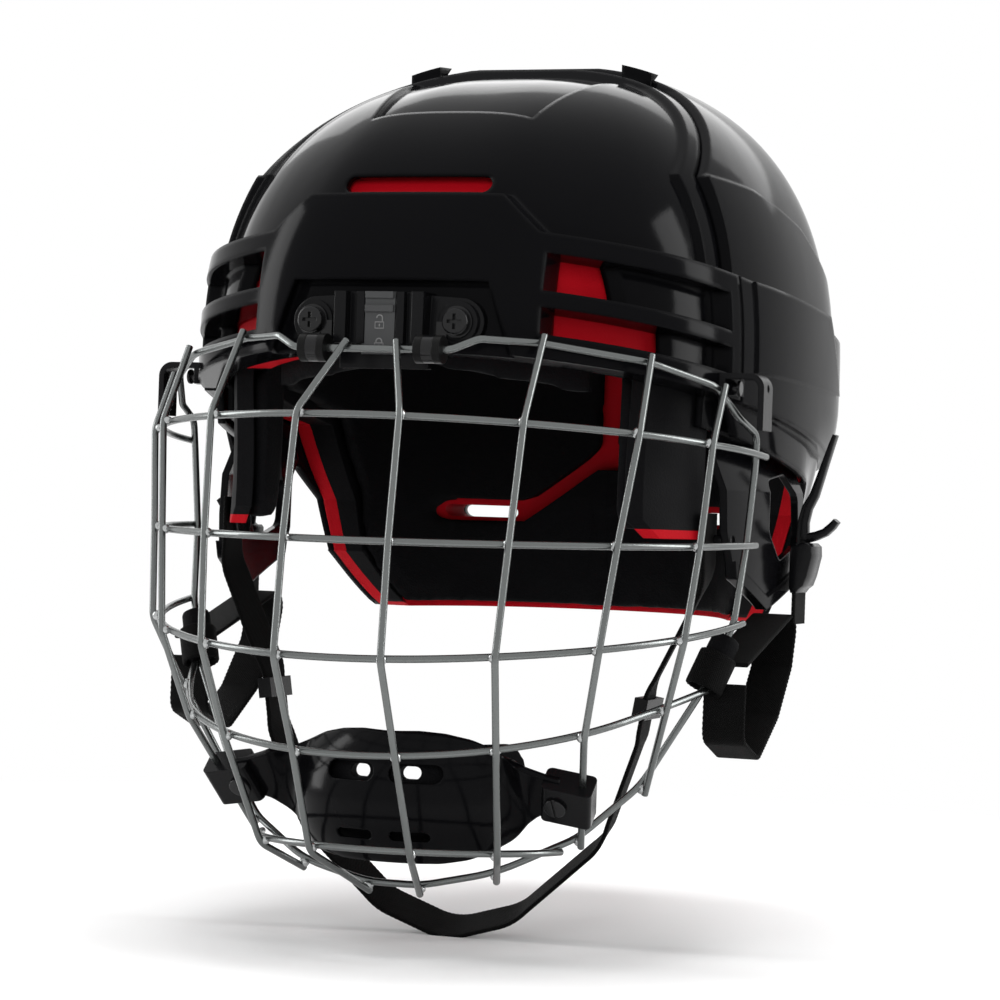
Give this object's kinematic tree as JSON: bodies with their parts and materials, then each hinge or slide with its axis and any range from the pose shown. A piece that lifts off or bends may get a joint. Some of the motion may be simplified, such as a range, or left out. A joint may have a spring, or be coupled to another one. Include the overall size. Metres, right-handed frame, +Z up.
{
  "type": "ice hockey helmet",
  "caption": "Ice hockey helmet: two-piece vented shell over foam liners, hinged wire face cage with chin cup, ear guards and chin strap.",
  "frame": {"origin": "where the crown of the wearer's head meets the underside of the crown pad", "axes": "+X to the wearer's left, +Y to the back of the head, +Z up"},
  "size_m": [0.2412, 0.3077, 0.3097],
  "materials": {
    "shell_gloss": "polished injection-moulded polymer",
    "liner_foam": "closed-cell foam, moulded skin",
    "pad_foam": "soft foam, fine grain",
    "fitting_plastic": "satin moulded polymer",
    "latch_plastic": "satin grey moulded polymer",
    "spool_rubber": "smooth rubber",
    "dark_steel": "black coated steel",
    "band_steel": "bright steel strip",
    "cage_wire": "satin silver coating over welded steel wire",
    "webbing": "woven webbing with ribbed edges"
  },
  "bodies": {
    "helmet": {"front_shell": "shell_gloss", "front_liner": "liner_foam", "forehead_pad": "pad_foam", "crown_pad": "pad_foam", "temple_pad_left": "pad_foam", "temple_pad_right": "pad_foam", "ear_guard_left": "shell_gloss", "ear_guard_right": "shell_gloss", "ear_rivets": "dark_steel", "side_hook_left": "fitting_plastic", "side_hook_right": "fitting_plastic", "hook_screws": "dark_steel", "brow_bracket": "fitting_plastic", "bracket_screws": "dark_steel", "bracket_nuts": "dark_steel", "wire_spools": "spool_rubber", "spool_bands": "band_steel", "crown_screws": "dark_steel", "crown_nuts": "dark_steel", "chin_strap": "webbing", "strap_anchors": "dark_steel", "strap_keepers": "fitting_plastic"},
    "rear_section": {"rear_shell": "shell_gloss", "rear_liner": "liner_foam", "rear_pad_left": "pad_foam", "rear_pad_right": "pad_foam"},
    "latch": {"latch_slider": "latch_plastic"},
    "cage": {"cage_rim": "cage_wire", "cage_upright_a_left": "cage_wire", "cage_upright_a_right": "cage_wire", "cage_upright_b_left": "cage_wire", "cage_upright_b_right": "cage_wire", "cage_upright_c_left": "cage_wire", "cage_upright_c_right": "cage_wire", "cage_upright_d_left": "cage_wire", "cage_upright_d_right": "cage_wire", "cage_row_second": "cage_wire", "cage_row_third": "cage_wire", "cage_row_fourth": "cage_wire", "cage_row_fifth": "cage_wire", "cage_row_sixth": "cage_wire", "chin_cup": "shell_gloss", "chin_pad": "pad_foam", "chin_clamp_left": "fitting_plastic", "chin_clamp_right": "fitting_plastic", "clamp_screws": "dark_steel", "cage_sleeve_left": "pad_foam", "cage_sleeve_right": "pad_foam", "harness_strap_left": "webbing", "harness_strap_right": "webbing", "harness_hook_left": "fitting_plastic", "harness_hook_right": "fitting_plastic"}
  },
  "joints": [
    {"name": "size_slide", "type": "slide", "parent": "helmet", "child": "rear_section", "axis": [0, 1, 0], "range_m": [0, 0.01]},
    {"name": "cage_hinge", "type": "hinge", "parent": "helmet", "child": "cage", "pos_m": [0, -0.1405, -0.0845], "axis": [-1, 0, 0], "range_deg": [0, 80]},
    {"name": "latch_slide", "type": "slide", "parent": "helmet", "child": "latch", "axis": [0, 0, 1], "range_m": [0, 0.003]}
  ]
}
